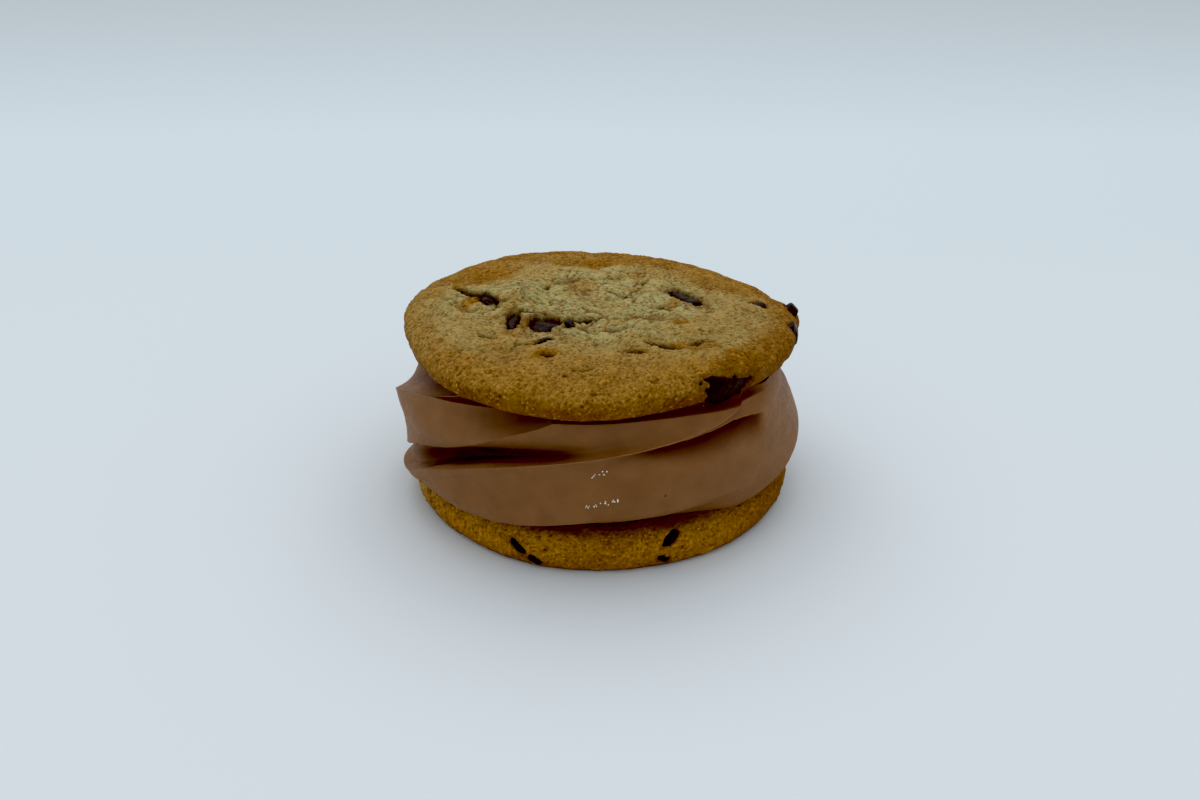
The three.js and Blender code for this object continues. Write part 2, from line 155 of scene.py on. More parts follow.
# The slot above crest SLOT_CREST: turns, then its depth and how far up it fades at those turns.
SLOT_CREST = 2
SLOT = (
    [-64, -58, -50, -40, -33, -27, -21, -15, -10, -4, 0],
    [0, 2, 3, 3, 2.6, 2.1, 1.7, 1.3, 0.9, 0.3, 0],
    [3.4, 4, 4, 3.6, 3, 2.2, 1.8, 1.3, 0.9, 0.6, 0.5],
)
# Neck, where the ice cream recedes just below the upper cookie: turns, how far down, depths. It
# fades over NECK_FADE mm.
NECK_FADE = 9
NECK = (
    [-62, -53, -45, -36, -28, -12, 0, 15, 25, 38, 48, 60],
    [2.2, 2.8, 2.4, 2.1, 1.6, 1.2, 1.2, 1.0, 1.0, 1.3, 1.1, 0.8],
    [0, 0.9, 1.4, 1.4, 1.2, 1.2, 1.2, 1.1, 1.4, 1.8, 1.2, 0],
)
# Shares of the ice cream's height over which its crests draw in towards foot and head.
FOOT_SHARE = 0.24
HEAD_SHARE = 0.4
# Half width of the rounding of a crest, as a share of the face beside it.
CREST_SOFT = 0.012

# ---- Fit of the pieces, in mm ----

# How far the ice cream's foot is pressed into the lower cookie's smooth skin, and how far its
# closed underside stays above that skin.
FOOT_SINK = 0.45
UNDERSIDE_LIFT = 0.15
# Between the ice cream and the upper cookie's underside.
ROOF_GAP = 0.08
# The churned surface lies this far inside the smooth one.
CHURN_INSET = 0.12
# The crust's relief stands out no more than this, and all of it is set back this far, so that the
# baked dough stays inside the CAD box.
RELIEF_CAP = 0.3
RELIEF_INSET = 0.3
# Depth of the pocket in the dough round a chip.
POCKET_DEPTH = 2.2
# A chip sits deeper by this share of its width. A chip in the top that is narrower than
# SMALL_CHIP is raised, as it would be lost in the crust.
CHIP_SETTLE = 0.04
SMALL_CHIP = 2.3
SMALL_CHIP_RISE = 0.25

# ---- Mesh steps ----

UPPER_GRID = 284
LOWER_GRID = 230
FOOT_RINGS = 8
UNDER_RINGS = 4
UNDER_CROWDING = 1.5
FACE_COLUMNS = 70
COLUMN_CROWDING = 0.7
FLANK_ROWS = 120
END_SHARES = (0.92, 0.75, 0.5, 0.25, 0.08)
CHIP_DETAIL = 4
BEAD_DETAIL = 2

# ---- Seeds of noise and random draws ----

CRACK_SEED = 31
PIT_SEED = 33
UPPER_SEED = 40
PATCH_SEED = 61
POCKET_SEED = 71
LOWER_SEED = 90
LOWER_EDGE_SEED = 93
UPPER_EDGE_SEED = 95
CHURN_SEED = 201
LOWER_CHIP_SEED = 300
UPPER_CHIP_SEED = 350
UPPER_PITS_SEED = 3
LOWER_PITS_SEED = 8
FROST_AND_GLINT_SEED = 17
FROST_AND_GLINT_BEAD_SEED = 5
CRUMB_SEED = 6


# ---- Noise ----

# Entries in a table of noise, a power of two.
LATTICE = 1024
# Brings gradient noise to about -1 to 1.
NOISE_GAIN = 1.7


def smooth(low, high, value):
    """0 at low and before it, 1 at high and past it, smooth between. Low may be the greater."""
    t = np.clip((value - low) / (high - low), 0, 1)
    return t * t * (3 - 2 * t)


def lattice(seed, width):
    """A repeatable shuffle and table of vectors for noise on a lattice."""
    rng = np.random.RandomState(seed)
    return rng.permutation(LATTICE), rng.uniform(-1, 1, (LATTICE, width))


def cell_index(shuffle, cell):
    """The entry in the table for each cell of the lattice."""
    wrap = LATTICE - 1
    i = shuffle[cell[:, 0] & wrap]
    i = shuffle[(i + cell[:, 1]) & wrap]
    return shuffle[(i + cell[:, 2]) & wrap]


def noise(points, size, seed):
    """Gradient noise, about -1 to 1, whose lumps are about that size."""
    shuffle, slopes = lattice(seed, 3)
    at = points / size
    cell = np.floor(at).astype(np.int64)
    part = at - cell
    fade = part**3 * (part * (part * 6 - 15) + 10)
    total = np.zeros(len(at))
    for corner in np.ndindex(2, 2, 2):
        away = part - corner
        slope = slopes[cell_index(shuffle, cell + corner)]
        weight = np.prod(np.where(corner, fade, 1 - fade), axis=1)
        total += weight * (slope * away).sum(1)
    return total * NOISE_GAIN


def grains(points, size, seed):
    """Distance to the nearest of many scattered grains, in grain sizes, and that grain's own
    number from 0 to 1."""
    shuffle, table = lattice(seed, 4)
    at = points / size
    cell = np.floor(at).astype(np.int64)
    nearest = np.full(len(at), 9.0)
    own = np.zeros(len(at))
    for step in np.ndindex(3, 3, 3):
        beside = cell + np.array(step) - 1
        entry = table[cell_index(shuffle, beside)]
        distance = np.linalg.norm(beside + 0.5 + 0.45 * entry[:, :3] - at, axis=1)
        closer = distance < nearest
        nearest = np.where(closer, distance, nearest)
        own = np.where(closer, entry[:, 3] * 0.5 + 0.5, own)
    return nearest, own


# ---- Surfaces ----

def seeded(seed):
    """The CAD model's repeatable random numbers, from 0 to 1."""
    factor, modulus = 16807, 2147483647
    state = seed
    while True:
        state = state * factor % modulus
        yield state / modulus


def mix(a, b, t):
    """From a where t is 0 to b where it is 1."""
    return a + (b - a) * t


def outline(cookie, turn):
    """A cookie's radius at a turn."""
    radius = np.full(np.shape(turn), float(cookie["radius"]))
    for count, size, start in cookie["waves"]:
        radius = radius + size * np.cos(count * np.radians(turn - start))
    for start, size, width in cookie["bumps"]:
        away = (turn - start + 180) % 360 - 180
        radius = radius + size * np.exp(-((away / width) ** 2))
    return radius


def add_hills(cookie):
    """The soft lumps and dips of the baked dough."""
    lumps = cookie["lumps"]
    draw = seeded(lumps["seed"])
    hills = []
    for _ in range(lumps["count"]):
        turn = math.radians(360 * next(draw))
        r = lumps["spread"] * math.sqrt(next(draw))
        width = mix(*lumps["width"], next(draw))
        height = mix(*lumps["height"], next(draw))
        hills.append((r * math.sin(turn), -r * math.cos(turn), width, height))
    cookie["hills"] = hills


def top_height(cookie, x, y):
    """The height of a cookie's top above its underside."""
    r = np.hypot(x, y)
    inner = outline(cookie, np.degrees(np.arctan2(x, -y))) - cookie["shoulder"]
    out = np.clip((r - inner) / cookie["shoulder"], 0, 1)
    relief = np.zeros(np.shape(x))
    for hill_x, hill_y, width, height in cookie["hills"]:
        relief = relief + height * np.exp(-((x - hill_x) ** 2 + (y - hill_y) ** 2) / width**2)
    dome = cookie["crown"] * np.maximum(0, 1 - (r / inner) ** 2)
    level = np.sqrt(1 - out * out)
    return cookie["belt"] + level * (cookie["edge"] - cookie["belt"] + relief) + dome


def disc_grid(n):
    """An even grid over a disc: turns in degrees, shares of the radius, quads, and the rim's
    vertices in order of turn."""
    line = np.linspace(-1, 1, n + 1)
    b, a = np.meshgrid(line, line, indexing="ij")
    a, b = a.ravel(), b.ravel()
    wide = np.abs(a) > np.abs(b)
    r, other = np.where(wide, a, b), np.where(wide, b, a)
    angle = np.pi / 4 * other / np.where(r == 0, 1, r)
    x = r * np.where(wide, np.cos(angle), np.sin(angle))
    y = r * np.where(wide, np.sin(angle), np.cos(angle))
    at = np.arange((n + 1) ** 2).reshape(n + 1, n + 1)
    quads = np.stack([at[:-1, :-1], at[:-1, 1:], at[1:, 1:], at[1:, :-1]], -1).reshape(-1, 4)
    rim = np.concatenate([at[0, :-1], at[:-1, -1], at[-1, :0:-1], at[:0:-1, 0]])
    return np.degrees(np.arctan2(x, -y)), np.abs(r), quads, rim


def ring_quads(lower, upper):
    """Quads between two rings of vertex numbers of equal length."""
    return np.stack([lower, np.roll(lower, -1), np.roll(upper, -1), upper], -1)


def fan(ring, centre):
    """Triangles from a ring of vertex numbers to one vertex, facing as ring_quads does below it."""
    return np.stack([ring, np.roll(ring, -1), np.full(len(ring), centre)], -1)


def around(turn, r, z):
    """Points at a turn, a distance from the middle and a height."""
    a = np.radians(turn)
    return np.stack(np.broadcast_arrays(r * np.sin(a), -r * np.cos(a), z), -1)


def cookie_surface(cookie, n, split):
    """A cookie's smooth skin: points, quads and triangles. The top is a grid of n by n quads, flat
    out to split of its radius, and rings go from the rim to the middle of the underside."""
    turn, share, quads, rim = disc_grid(n)
    edge = outline(cookie, turn)
    inner = edge - cookie["shoulder"]
    lean = np.pi / 2 * np.clip((1 - share) / (1 - split), 0, 1)
    r = np.where(share < split, inner * share / split, edge - cookie["shoulder"] * (1 - np.cos(lean)))
    points = around(turn, r, 0)
    points[:, 2] = top_height(cookie, points[:, 0], points[:, 1])
    points[rim, 2] = cookie["belt"]
    parts = [points]
    rim_turn, rim_edge = turn[rim], edge[rim]
    for step in range(1, FOOT_RINGS + 1):
        a = np.pi / 2 * (1 - step / FOOT_RINGS)
        inset = cookie["foot"] * (1 - np.sin(a))
        parts.append(around(rim_turn, rim_edge - inset, cookie["belt"] * (1 - np.cos(a))))
    for step in range(1, UNDER_RINGS + 1):
        share_left = (1 - step / (UNDER_RINGS + 1)) ** UNDER_CROWDING
        parts.append(around(rim_turn, (rim_edge - cookie["foot"]) * share_left, 0))
    start, count = len(points), len(rim)
    rings = [rim]
    for step in range(FOOT_RINGS + UNDER_RINGS):
        rings.append(start + step * count + np.arange(count))
    walls = [ring_quads(rings[i + 1], rings[i]) for i in range(len(rings) - 1)]
    points = np.concatenate([*parts, np.zeros((1, 3))])
    return points, [np.concatenate([quads, *walls]), fan(rings[-1][::-1], len(points) - 1)]


def vertex_normals(points, faces):
    """Unit normals at the points, from the quads beside them."""
    quads = faces[0]
    a, b, c, d = (points[quads[:, corner]] for corner in range(4))
    face = np.cross(c - a, d - b)
    normals = np.zeros_like(points)
    for corner in range(4):
        np.add.at(normals, quads[:, corner], face)
    return normals / np.maximum(np.linalg.norm(normals, axis=1, keepdims=True), 1e-12)


def make_mesh(name, points, faces, attributes):
    """A smooth-shaded object from points in mm, with named numbers on its vertices."""
    corners = np.concatenate([np.full(len(part), part.shape[1]) for part in faces])
    mesh = bpy.data.meshes.new(name)
    mesh.vertices.add(len(points))
    mesh.vertices.foreach_set("co", (points * MM).ravel())
    mesh.loops.add(int(corners.sum()))
    mesh.loops.foreach_set("vertex_index", np.concatenate([part.ravel() for part in faces]))
    mesh.polygons.add(len(corners))
    mesh.polygons.foreach_set("loop_start", np.cumsum(corners) - corners)
    mesh.polygons.foreach_set("use_smooth", np.ones(len(corners), dtype=bool))
    mesh.update(calc_edges=True)
    mesh.validate()
    for key, values in attributes.items():
        layer = mesh.attributes.new(key, "FLOAT", "POINT")
        layer.data.foreach_set("value", np.asarray(values, dtype=np.float32))
    made = bpy.data.objects.new(name, mesh)
    bpy.context.scene.collection.objects.link(made)
    return made


def turned(angle, axis):
    """A rotation matrix from an angle in degrees."""
    return np.array(Matrix.Rotation(math.radians(angle), 3, axis))


LEAN = turned(-SEAT["back"], "X") @ turned(SEAT["right"], "Y")
SEAT_AT = np.array([SEAT["x"], SEAT["y"], SEAT["z"]])


def seated(points):
    """From the upper cookie's own frame to the sandwich's."""
    return points @ LEAN.T + SEAT_AT


# ---- Chips ----

def top_place(cookie, chip):
    """The place of a chip in the top: its axes as rows, its middle, size, rise and sag."""
    (x, y), size, spin, rise = chip
    z = float(top_height(cookie, np.array(x), np.array(y)))
    if size[1] < SMALL_CHIP:
        rise += SMALL_CHIP_RISE
    return turned(spin, "Z").T, np.array([x, y, z]), size, rise, 0


def rim_place(cookie, chip):
    """The place of a chip in the rim, facing away from the dough there."""
    turn, up, size, roll, rise, sag = (*chip, 0)[:6]
    radius = float(outline(cookie, np.array(float(turn))))
    low = up < cookie["belt"]
    depth = cookie["foot"] if low else cookie["shoulder"]
    height = cookie["belt"] if low else cookie["edge"] - cookie["belt"]
    away = (up - cookie["belt"]) / height
    level = math.sqrt(1 - away * away)
    slope = math.degrees(math.atan2(away * depth, height * level))
    turn_axes = turned(turn, "Z") @ turned(90 - slope, "X") @ turned(roll, "Z")
    middle = around(turn, radius - depth * (1 - level), up)
    return turn_axes.T, middle, size, rise, sag


def ball_mesh(name, detail, radius):
    ball = bpy.data.meshes.new(name)
    bm = bmesh.new()
    bmesh.ops.create_icosphere(bm, subdivisions=detail, radius=radius)
    bm.to_mesh(ball)
    bm.free()
    return ball


def chip_mesh(name, place, seed):
    """A broken, rounded lump of chocolate: a ball cut by planes that blend into each other. The
    object and its points."""
    cuts, sharpness, uneven = 15, 14, 0.03
    axes, middle, size, rise, sag = place
    rng = np.random.RandomState(seed)
    ball = ball_mesh(name, CHIP_DETAIL, 1)
    rays = np.empty(len(ball.vertices) * 3)
    ball.vertices.foreach_get("co", rays)
    rays = rays.reshape(-1, 3)
    rays /= np.linalg.norm(rays, axis=1, keepdims=True)
    planes = rng.normal(size=(cuts, 3))
    planes /= np.linalg.norm(planes, axis=1, keepdims=True)
    planes = np.concatenate([planes, np.eye(3), -np.eye(3)])
    far = np.concatenate([rng.uniform(0.82, 1.02, cuts), rng.uniform(0.9, 1.0, 6)])
    facing = np.maximum(rays @ planes.T, 1e-3) / far
    reach = (facing**sharpness).sum(1) ** (-1 / sharpness)
    local = rays * reach[:, None]
    local += rays * (noise(rays * 3 + seed, 1.1, seed)[:, None] * uneven)
    local *= np.array(size) / 2
    local[:, 1] -= sag * (0.5 - (local[:, 0] / (size[0] / 2)) ** 2)
    local[:, 2] -= size[2] / 2 - rise + CHIP_SETTLE * size[1]
    points = local @ axes + middle
    ball.vertices.foreach_set("co", (points * MM).ravel())
    ball.polygons.foreach_set("use_smooth", np.ones(len(ball.polygons), dtype=bool))
    ball.update()
    made = bpy.data.objects.new(name, ball)
    bpy.context.scene.collection.objects.link(made)
    return made, points


def pockets(points, places):
    """How far the dough is pressed in by its chips, and how near each point is to one."""
    roundness, through_dough = 2.6, 4
    wobble = 0.95 + 0.26 * noise(points, 2.3, POCKET_SEED) + 0.18 * noise(points, 0.9, POCKET_SEED + 1)
    depth = np.zeros(len(points))
    near = np.zeros(len(points))
    for axes, middle, size, _, sag in places:
        local = (points - middle) @ axes.T
        local[:, 1] += sag * (0.5 - np.clip(local[:, 0] / (size[0] / 2), -1, 1) ** 2)
        along, across = (np.abs(local[:, i] / (size[i] / 2)) ** roundness for i in (0, 1))
        level = (along + across) ** (1 / roundness) / wobble
        shallow = np.abs(local[:, 2]) < through_dough
        depth = np.maximum(depth, np.where(shallow, POCKET_DEPTH * smooth(1.1, 0.9, level), 0))
        near = np.maximum(near, np.where(shallow, smooth(1.9, 0.95, level), 0))
    return depth, near


def crack_depth(points, cracks):
    """How deep each point is in one of some wavy cracks."""
    depth = np.zeros(len(points))
    wave, ripple = 0.9 * noise(points, 3.1, CRACK_SEED), 0.35 * noise(points, 1.1, CRACK_SEED + 1)
    for x, y, length, width, deep, spin in cracks:
        a = math.radians(spin)
        dx, dy = points[:, 0] - x, points[:, 1] - y
        along = (dx * math.cos(a) + dy * math.sin(a)) / (length / 2)
        across = dy * math.cos(a) - dx * math.sin(a) + wave + ripple
        full = np.sqrt(np.maximum(0, 1 - along**2))
        half = np.maximum(width * full / 2, 1e-3)
        depth = np.maximum(depth, deep * full * np.exp(-((across / half) ** 2)))
    return depth


def pits(points, spots):
    """How deep each point is in one of some small, roundish holes: x, y, z, radius, depth."""
    reach, steepness = 2.2, 0.8
    depth = np.zeros(len(points))
    for x, y, z, radius, deep in spots:
        middle = np.array([x, y, z])
        near = np.linalg.norm(points - middle, axis=1) < radius * reach
        uneven = 1 + 0.6 * noise(points[near], 0.9, PIT_SEED)
        d2 = ((points[near] - middle) ** 2).sum(1) * uneven
        depth[near] = np.maximum(depth[near], deep * np.exp(-d2 / (radius * steepness) ** 2))
    return depth


# ---- Cookies ----

add_hills(LOWER)
add_hills(UPPER)

upper_places = [top_place(UPPER, chip) for chip in UPPER_TOP_CHIPS]
upper_places += [rim_place(UPPER, chip) for chip in UPPER_RIM_CHIPS]
lower_places = [rim_place(LOWER, chip) for chip in LOWER_RIM_CHIPS]


def crust_relief(points, centre, rough, seed):
    """The crust, crumpled where centre is 1 and grainy everywhere: its height over the smooth skin
    in mm, and from 0 to 1 how deep in a crease it is, its grain's own number and how high its fine
    relief stands."""
    fold_mean, knob_mean, crumb_mean, crease_width = 0.25, 0.22, 0.2, 0.035
    warp = np.stack([noise(points, 4, seed + k) for k in (1, 2, 3)], -1)
    fold = np.abs(noise(points + 1.6 * warp, 7.5, seed + 4))
    knob = np.abs(noise(points + 1.1 * warp, 3.6, seed + 5))
    crumb = np.abs(noise(points + 0.3 * warp, 1.5, seed + 9))
    lumps, swell = noise(points, 3.4, seed + 6), noise(points, 8, seed + 10)
    distance, own = grains(points, 0.72, seed + 7)
    grain = (1 - np.clip(distance, 0, 1) ** 2) * (0.3 + 0.7 * own) - 0.3
    fine = noise(points, 0.62, seed + 8)
    valley = np.exp(-((fold / crease_width) ** 2))
    valley = valley + 0.5 * np.exp(-((knob / crease_width) ** 2)) * (swell > -0.2)
    fold, knob, crumb = fold - fold_mean, knob - knob_mean, crumb - crumb_mean
    crumbly = 0.24 * grain + 0.18 * fine + 0.1 * crumb
    height = (
        centre * (0.7 * fold + 0.42 * knob + 0.2 * crumb - 0.38 * valley)
        + (1 - centre) * 0.34 * lumps
        + 0.25 * swell
        + rough * crumbly
    )
    # The material paints shade on the low parts of this fine relief and light on the high ones.
    lift = 0.5 + 2.0 * crumbly + centre * (1.1 * crumb + 0.8 * knob) + 0.2 * lumps + 0.08 * swell
    number = own * (1 - smooth(0.5, 0.75, distance))
    return height, np.clip(centre * valley, 0, 1), number, np.clip(lift, 0, 1)


def patches(points, spots):
    """How far each point is in one of some soft, oval patches."""
    inside = np.zeros(len(points))
    edge = 0.35 * noise(points, 3.2, PATCH_SEED) + 0.2 * noise(points, 1.1, PATCH_SEED + 1)
    for x, y, half_long, half_wide, spin, strength in spots:
        a = math.radians(spin)
        dx, dy = points[:, 0] - x, points[:, 1] - y
        along = dx * math.cos(a) + dy * math.sin(a)
        across = dy * math.cos(a) - dx * math.sin(a)
        out = np.hypot(along / half_long, across / half_wide) + edge
        inside = np.maximum(inside, strength * smooth(1.35, 0.55, out))
    return inside


def build_cookie(cookie, grid, split, places, cracks, spots, toasts, seed, crumpled):
    """A baked cookie: its points, its faces and the numbers that its material goes by. crumpled is
    the middle, half width and half depth of the pale, crumpled part of the top."""
    belt, edge = cookie["belt"], cookie["edge"]
    points, faces = cookie_surface(cookie, grid, split)
    normals = vertex_normals(points, faces)
    x, y, z = points.T
    under = smooth(0.5, 0.0, z)
    broad = noise(points, 13, seed + 20) + 0.5 * noise(points, 5, seed + 21)
    (middle_x, middle_y), half_x, half_y = crumpled
    out = np.hypot((x - middle_x) / half_x, (y - middle_y) / half_y)
    centre = smooth(1.3, 0.75, out + 0.2 * broad) * (1 - under)
    middle = smooth(1.15, 0.6, out + 0.3 * broad)
    inward = outline(cookie, np.degrees(np.arctan2(x, -y))) - np.hypot(x, y) + 1.5 * broad
    skirt = smooth(0, 1, inward / mix(9, 13, smooth(-5, 15, y)) - 0.25 * smooth(-5, 15, y))
    left = smooth(-22, -38, x + 2 * broad)
    skirt_pale = 0.5 - 0.27 * smooth(-21, -30, y)
    pale = (0.5 * middle + skirt_pale * skirt) * smooth(belt, edge, z) + 0.3 * left
    # Browner towards the foot of the rim: partly real toasting of the underside's edge, partly painted
    # shade where the rim faces down.
    low = smooth(belt + 2, belt - 1.5, z + 0.6 * broad) * (1 - 0.5 * left)
    rough = mix(0.6, 1.0, smooth(0.6, 1.1, out)) * (1 - 0.7 * under)
    relief, crease, own, lift = crust_relief(points, centre, rough, seed)
    relief = relief * (1 - 0.85 * under)
    # The painted shade and light of the relief is stronger on the rim.
    lift = np.clip(0.5 + (lift - 0.5) * mix(1.4, 1.0, middle), 0, 1)
    pocket, near = pockets(points, places)
    cracks_deep = crack_depth(points, cracks) * (1 - under)
    holes = pits(points, spots)
    toast = patches(points, toasts) * smooth(belt, belt + 1.5, z)
    right_and_back = np.maximum(smooth(18, 36, x + 2 * broad), 0.8 * smooth(15, 32, y))
    toast = np.maximum(toast, 0.8 * (1 - skirt) * right_and_back)
    relief = np.where(relief > 0, RELIEF_CAP * np.tanh(relief / RELIEF_CAP), relief)
    relief = relief - RELIEF_INSET * (1 - under)
    height = relief * (1 - smooth(0, 0.5, pocket)) - pocket - cracks_deep - holes
    moved = points + normals * height[:, None]
    moved[:, 2] = np.maximum(moved[:, 2], 0)
    # How much painted shade darkens the cracks, the pits and the pockets round chips.
    deep = 0.9 * np.clip(cracks_deep / 1.1, 0, 1) + 0.45 * np.clip(holes / 0.5, 0, 1)
    deep = np.clip(deep + smooth(0.2, 1.6, pocket), 0, 1)
    facts = dict(pale=pale, low=low, toast=toast, crease=crease, deep=deep, near=near)
    return moved, faces, dict(facts, grain=own, lift=lift)


def scattered_pits(cookie, count, seed):
    """Random small pits, mostly towards the rim."""
    rng = np.random.RandomState(seed)
    spots = []
    for _ in range(count):
        turn = rng.uniform(-180, 180)
        share = rng.uniform(0, 1) ** 0.5
        radius = rng.uniform(0.25, 0.6)
        deep = rng.uniform(0.3, 0.8)
        edge = float(outline(cookie, np.array(turn)))
        if share < 0.9:
            x, y = around(turn, edge * share, 0)[:2]
            z = float(top_height(cookie, np.array(x), np.array(y)))
        else:
            z = rng.uniform(1.0, cookie["belt"] + 1.5)
            x, y = around(turn, edge - 0.2, 0)[:2]
        spots.append((x, y, z, radius, deep))
    return spots


# Pits that show in the photo.
UPPER_PITS = [
    (-5.7, -34.8, 7.7, 0.7, 0.9), (-0.2, -39.7, 5.9, 0.7, 0.9), (-17.7, -37.0, 3.6, 0.8, 0.7),
    (-2.3, -41.4, 3.9, 0.6, 0.7), (-1.4, -41.0, 4.7, 0.6, 0.7), (6.9, 23.7, 8.2, 0.6, 0.7),
]
LOWER_PITS = [(-10.3, -38.0, 5.4, 0.9, 0.5)]

upper_points, upper_faces, upper_facts = build_cookie(
    UPPER, UPPER_GRID, split=0.7, places=upper_places, cracks=UPPER_CRACKS,
    spots=UPPER_PITS + scattered_pits(UPPER, count=150, seed=UPPER_PITS_SEED), toasts=UPPER_TOAST,
    seed=UPPER_SEED, crumpled=((-1, 0), 25, 21),
)
lower_points, lower_faces, lower_facts = build_cookie(
    LOWER, LOWER_GRID, split=0.5, places=lower_places, cracks=[],
    spots=LOWER_PITS + scattered_pits(LOWER, count=90, seed=LOWER_PITS_SEED), toasts=[],
    seed=LOWER_SEED, crumpled=((0, 0), 16, 16),
)
# Darker and browner where the dough meets the ice cream, partly a real stain of melted ice cream
# and partly painted shade, and painted shade at the foot and towards the shaded right.
lower_x, _, lower_z = lower_points.T
lower_z = lower_z + (
    0.5 * noise(lower_points, 2.5, LOWER_EDGE_SEED) + 0.3 * noise(lower_points, 0.9, LOWER_EDGE_SEED + 1)
)
lower_shade_and_stain = np.maximum(0.95 * smooth(6.8, 8.2, lower_z), 0.8 * smooth(1.2, 0.2, lower_z))
lower_facts["shade_and_stain"] = np.maximum(lower_shade_and_stain, 0.4 * smooth(18, 38, lower_x))
lower_facts["pale"] = lower_facts["pale"] + 0.25 * smooth(-28, -38, lower_x)
# Painted shade on the upper cookie: along its lower edge, where it meets the ice cream, and low on its
# rim towards the shaded right.
upper_ragged = (
    0.4 * noise(upper_points, 2.5, UPPER_EDGE_SEED) + 0.3 * noise(upper_points, 0.9, UPPER_EDGE_SEED + 1)
)
upper_x, _, upper_z = upper_points.T
upper_facts["shade_and_stain"] = np.maximum(
    0.7 * smooth(0.9, 0.1, upper_z + upper_ragged), 0.4 * smooth(12, 32, upper_x) * smooth(8, 4, upper_z)
)
upper_cookie = make_mesh("upper_cookie_baked", seated(upper_points), upper_faces, upper_facts)
lower_cookie = make_mesh("lower_cookie_baked", lower_points, lower_faces, lower_facts)


# ---- Ice cream ----

def ceiling(x, y):
    """The height of the upper cookie's underside."""
    normal = LEAN @ np.array([0, 0, 1.0])
    return SEAT_AT[2] - (normal[0] * (x - SEAT_AT[0]) + normal[1] * (y - SEAT_AT[1])) / normal[2]


def through(samples, share):
    """A smooth curve through samples at even shares from 0 to 1."""
    samples = np.asarray(samples, dtype=float)
    last = len(samples) - 1
    place = np.clip(share, 0, 1) * last
    i = np.minimum(place.astype(int), last - 1)
    t = place - i
    p0 = samples[np.where(i == 0, 0, i - 1)]
    p1, p2 = samples[i], samples[i + 1]
    p3 = samples[np.minimum(i + 2, last)]
    v0, v1 = (p2 - p0) / 2, (p3 - p1) / 2
    return (2 * p1 - 2 * p2 + v0 + v1) * t**3 + (-3 * p1 + 3 * p2 - 2 * v0 - v1) * t**2 + v0 * t + p1


def crest_radius(radii, up):
    """A crest's distance from the middle, from its radii at foot, between and head."""
    foot, reach, head = radii
    from_foot = np.maximum(0, 1 - up / FOOT_SHARE)
    to_head = np.maximum(0, 1 - (1 - up) / HEAD_SHARE)
    return reach + (foot - reach) * from_foot**2 + (head - reach) * to_head**2


def flank(k, across, up):
    """The ice cream's side between crest k and the next: its turn, its radius and how deep its
    hollow is there."""
    turns, radii, (depths, keels, (before, beyond)) = CRESTS[k]
    next_turns, next_radii, _ = CRESTS[(k + 1) % len(CRESTS)]
    lap = 360 if k + 1 == len(CRESTS) else 0
    keel = through(keels, up)
    off_left = np.sqrt(across**2 + CREST_SOFT**2) - CREST_SOFT
    off_right = np.sqrt((1 - across) ** 2 + CREST_SOFT**2) - CREST_SOFT
    dip = np.where(
        across < keel,
        np.sin(np.pi / 2 * np.clip(off_left / keel, 0, 1)) ** before,
        np.sin(np.pi / 2 * np.clip(off_right / (1 - keel), 0, 1)) ** beyond,
    )
    sink = through(depths, up) * dip
    turn = mix(through(turns, up), through(next_turns, up) + lap, across)
    radius = mix(crest_radius(radii, up), crest_radius(next_radii, up), across) - sink
    return turn, radius, sink


def crest_line(k):
    """Turns and heights along a crest."""
    ups = np.linspace(0, 1, 60)
    turns, radii, _ = CRESTS[k]
    line = around(through(turns, ups), crest_radius(radii, ups), 0 * ups)
    foot = top_height(LOWER, line[:, 0], line[:, 1])
    return through(turns, ups), mix(foot, ceiling(line[:, 0], line[:, 1]), ups)


def underside(x, y):
    """The height of the ice cream's closed underside."""
    return top_height(LOWER, x, y) + UNDERSIDE_LIFT


def roof(x, y):
    """The height of the ice cream's closed top."""
    return ceiling(x, y) - ROOF_GAP


def end_rings(edge, height):
    """Rings that close one end of the ice cream, from its edge inwards."""
    rings = []
    for share in END_SHARES:
        ring = edge * share
        ring[:, 2] = height(ring[:, 0], ring[:, 1])
        rings.append(ring)
    return rings


